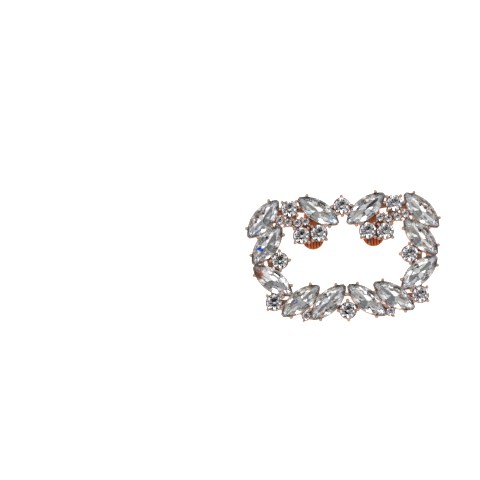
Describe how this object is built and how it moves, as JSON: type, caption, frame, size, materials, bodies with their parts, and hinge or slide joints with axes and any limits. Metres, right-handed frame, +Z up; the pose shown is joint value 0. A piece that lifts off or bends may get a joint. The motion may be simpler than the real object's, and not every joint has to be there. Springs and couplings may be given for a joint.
{
  "type": "shoe buckle",
  "caption": "Ornamental shoe buckle: openwork cast frame set with marquise and round cut stones round a clear centre window, held on a shoe's edge by two spring clips behind its upper lobes",
  "frame": {"origin": "middle of the buckle's plan, on the table that it lies on", "axes": "+X along the buckle's width, +Y towards its top edge with the two lobes, +Z up from the table"},
  "size_m": [0.062, 0.0412, 0.0093],
  "materials": {
    "rose_gold": "polished rose-gold plating over cast zinc alloy",
    "clip_copper": "bright copper-coloured plating over spring steel",
    "crystal": "clear cut glass over a silver foil back"
  },
  "bodies": {
    "root": {"frame": "rose_gold", "clip_left": "clip_copper", "clip_right": "clip_copper", "top_middle_round": "crystal", "bottom_middle_round": "crystal", "top_outer_marquise_right": "crystal", "upper_side_marquise_right": "crystal", "lower_side_marquise_right": "crystal", "bottom_outer_marquise_right": "crystal", "bottom_inner_marquise_right": "crystal", "top_inner_marquise_right": "crystal", "top_round_right": "crystal", "side_round_right": "crystal", "corner_round_right": "crystal", "lobe_outer_round_right": "crystal", "lobe_inner_round_right": "crystal", "tiny_round_1_right": "crystal", "tiny_round_2_right": "crystal", "tiny_round_3_right": "crystal", "tiny_round_4_right": "crystal", "small_round_right": "crystal", "top_outer_marquise_left": "crystal", "upper_side_marquise_left": "crystal", "lower_side_marquise_left": "crystal", "bottom_outer_marquise_left": "crystal", "bottom_inner_marquise_left": "crystal", "top_inner_marquise_left": "crystal", "top_round_left": "crystal", "side_round_left": "crystal", "corner_round_left": "crystal", "lobe_outer_round_left": "crystal", "lobe_inner_round_left": "crystal", "tiny_round_1_left": "crystal", "tiny_round_2_left": "crystal", "tiny_round_3_left": "crystal", "tiny_round_4_left": "crystal", "small_round_left": "crystal"}
  },
  "joints": []
}
